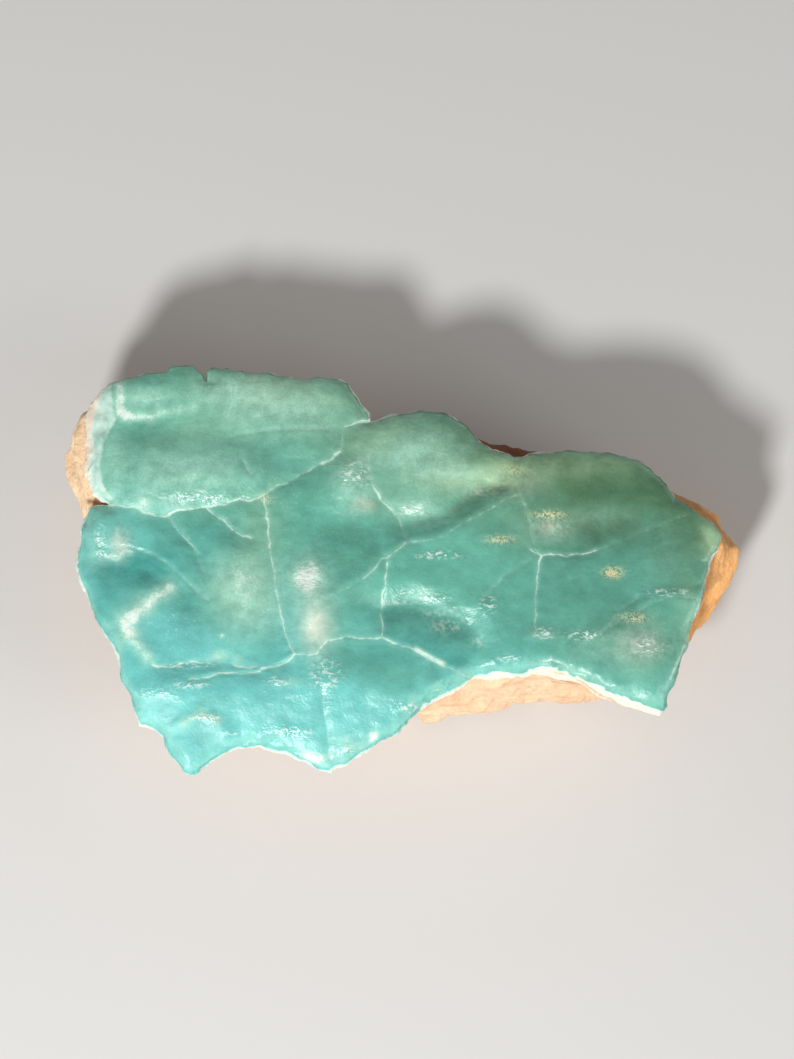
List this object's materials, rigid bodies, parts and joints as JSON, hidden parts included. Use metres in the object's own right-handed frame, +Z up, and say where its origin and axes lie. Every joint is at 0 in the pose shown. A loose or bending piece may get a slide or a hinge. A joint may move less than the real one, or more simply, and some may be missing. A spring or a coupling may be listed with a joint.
{
  "type": "rough aragonite",
  "caption": "Rough mineral specimen: a wavy, veined blue-green crust still on a broken slab of tan host rock, lying on the slab's flat underside.",
  "frame": {"origin": "middle of the stone's box in plan, on the flat that it rests on", "axes": "+X along the stone's length to the end with the orange rock, +Y away from the front edge, +Z up through the crust"},
  "size_m": [0.1186, 0.0716, 0.0306],
  "materials": {
    "aragonite": "satin",
    "host_rock": "matte"
  },
  "bodies": {
    "root": {"aragonite_crust": "aragonite", "matrix_rock": "host_rock"}
  },
  "joints": []
}
